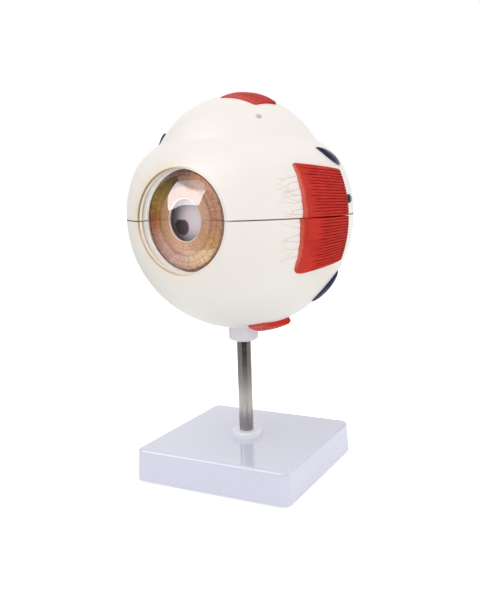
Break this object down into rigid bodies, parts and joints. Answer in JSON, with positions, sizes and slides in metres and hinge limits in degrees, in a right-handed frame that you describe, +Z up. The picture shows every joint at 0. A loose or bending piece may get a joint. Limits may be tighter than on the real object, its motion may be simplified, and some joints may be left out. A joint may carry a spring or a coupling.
{
  "type": "eye anatomy model",
  "caption": "Enlarged eye model on a desk stand: the globe splits at a level seam over the choroid, iris, lens and vitreous body, and turns on its support rod.",
  "frame": {"origin": "desk level on the axis of the support rod, under the centre of the base plate", "axes": "+Z up along the support rod, -Y the way the eye looks, +X towards the lateral rectus"},
  "size_m": [0.1311, 0.144, 0.2072],
  "materials": {
    "base": "gloss",
    "rubber_feet": "matt",
    "rod": "brushed",
    "foot_ring": "gloss",
    "fastener": "zinc plated",
    "sclera": "satin",
    "pins": "matt",
    "socket": "satin",
    "muscle": "satin painted",
    "vortex_veins": "satin painted",
    "nerve": "satin painted",
    "vein": "gloss painted",
    "cornea": "clear polished plastic",
    "artery": "gloss painted",
    "choroid": "satin painted",
    "iris": "satin painted",
    "ciliary_body": "matt painted",
    "vitreous": "clear polished plastic",
    "lens": "clear polished plastic"
  },
  "bodies": {
    "stand": {"base_plate": "base", "rubber_feet": "rubber_feet", "support_rod": "rod", "foot_ring": "foot_ring", "rod_washer": "fastener", "rod_nut": "fastener"},
    "globe": {"sclera_lower": "sclera", "sclera_pins": "pins", "globe_socket": "socket", "lateral_rectus_lower": "muscle", "medial_rectus_lower": "muscle", "inferior_rectus": "muscle", "inferior_oblique": "muscle", "vortex_veins_lower": "vortex_veins", "optic_nerve_lower": "nerve", "central_retinal_vein": "vein"},
    "upper_globe": {"sclera_upper": "sclera", "cornea": "cornea", "lateral_rectus_upper": "muscle", "medial_rectus_upper": "muscle", "superior_rectus": "muscle", "superior_oblique": "muscle", "vortex_veins_upper": "vortex_veins", "ciliary_vessel_stubs": "vortex_veins", "optic_nerve_upper": "nerve", "central_retinal_artery": "artery"},
    "upper_tunic": {"choroid_upper": "choroid", "iris_upper": "iris", "ciliary_body_upper": "ciliary_body"},
    "lower_tunic": {"choroid_lower": "choroid", "iris_lower": "iris", "ciliary_body_lower": "ciliary_body"},
    "vitreous": {"vitreous_body": "vitreous"},
    "lens": {"lens": "lens"}
  },
  "joints": [
    {"name": "globe_swivel", "type": "hinge", "parent": "stand", "child": "globe", "pos_m": [0, 0, 0.08], "axis": [0, 0, 1], "continuous": true},
    {"name": "upper_sclera_lift", "type": "slide", "parent": "globe", "child": "upper_globe", "axis": [0, 0, 1], "range_m": [0, 0.26]},
    {"name": "upper_tunic_lift", "type": "slide", "parent": "globe", "child": "upper_tunic", "axis": [0, 0, 1], "range_m": [0, 0.195]},
    {"name": "vitreous_lift", "type": "slide", "parent": "globe", "child": "vitreous", "axis": [0, 0, 1], "range_m": [0, 0.13]},
    {"name": "lower_tunic_lift", "type": "slide", "parent": "globe", "child": "lower_tunic", "axis": [0, 0, 1], "range_m": [0, 0.065]},
    {"name": "lens_slide", "type": "slide", "parent": "vitreous", "child": "lens", "axis": [-0.1392, -0.9903, 0], "range_m": [0, 0.0221]}
  ],
  "couplings": [
    {"joint": "upper_tunic_lift", "follows": "upper_sclera_lift", "ratio": 0.75},
    {"joint": "vitreous_lift", "follows": "upper_sclera_lift", "ratio": 0.5},
    {"joint": "lower_tunic_lift", "follows": "upper_sclera_lift", "ratio": 0.25},
    {"joint": "lens_slide", "follows": "upper_sclera_lift", "ratio": 0.085}
  ]
}
